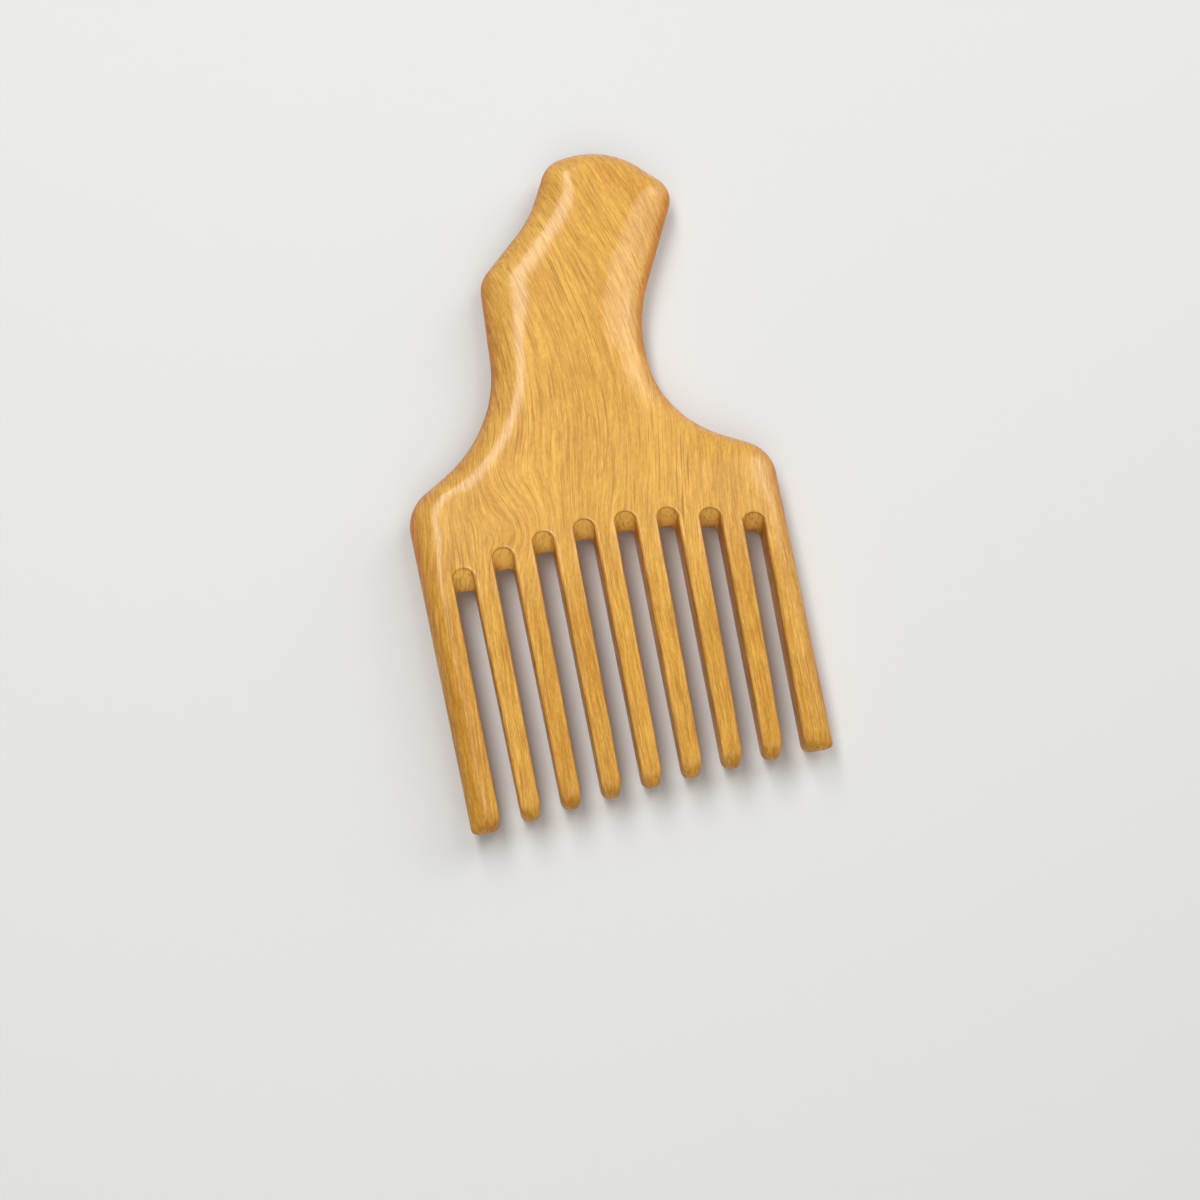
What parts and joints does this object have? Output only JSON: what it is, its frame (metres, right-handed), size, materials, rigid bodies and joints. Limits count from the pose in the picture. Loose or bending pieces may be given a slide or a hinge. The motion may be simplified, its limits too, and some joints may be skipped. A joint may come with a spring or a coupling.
{
  "type": "hair pick",
  "caption": "Flat carved hardwood hair pick: bent palm handle, flared shoulder plate, a row of tapered teeth and wider guard teeth at both sides.",
  "frame": {"origin": "under the middle of the whole pick, on its flat back face", "axes": "+X across the teeth, to the right seen from the front; +Y from the tooth tips to the handle; +Z out of the front face"},
  "size_m": [0.0854, 0.1636, 0.012],
  "materials": {
    "wood": "polished"
  },
  "bodies": {
    "root": {"handle": "wood", "shoulder_plate": "wood", "guard_tooth_left": "wood", "guard_tooth_right": "wood", "tooth_1": "wood", "tooth_2": "wood", "tooth_3": "wood", "tooth_4": "wood", "tooth_5": "wood", "tooth_6": "wood", "tooth_7": "wood"}
  },
  "joints": []
}
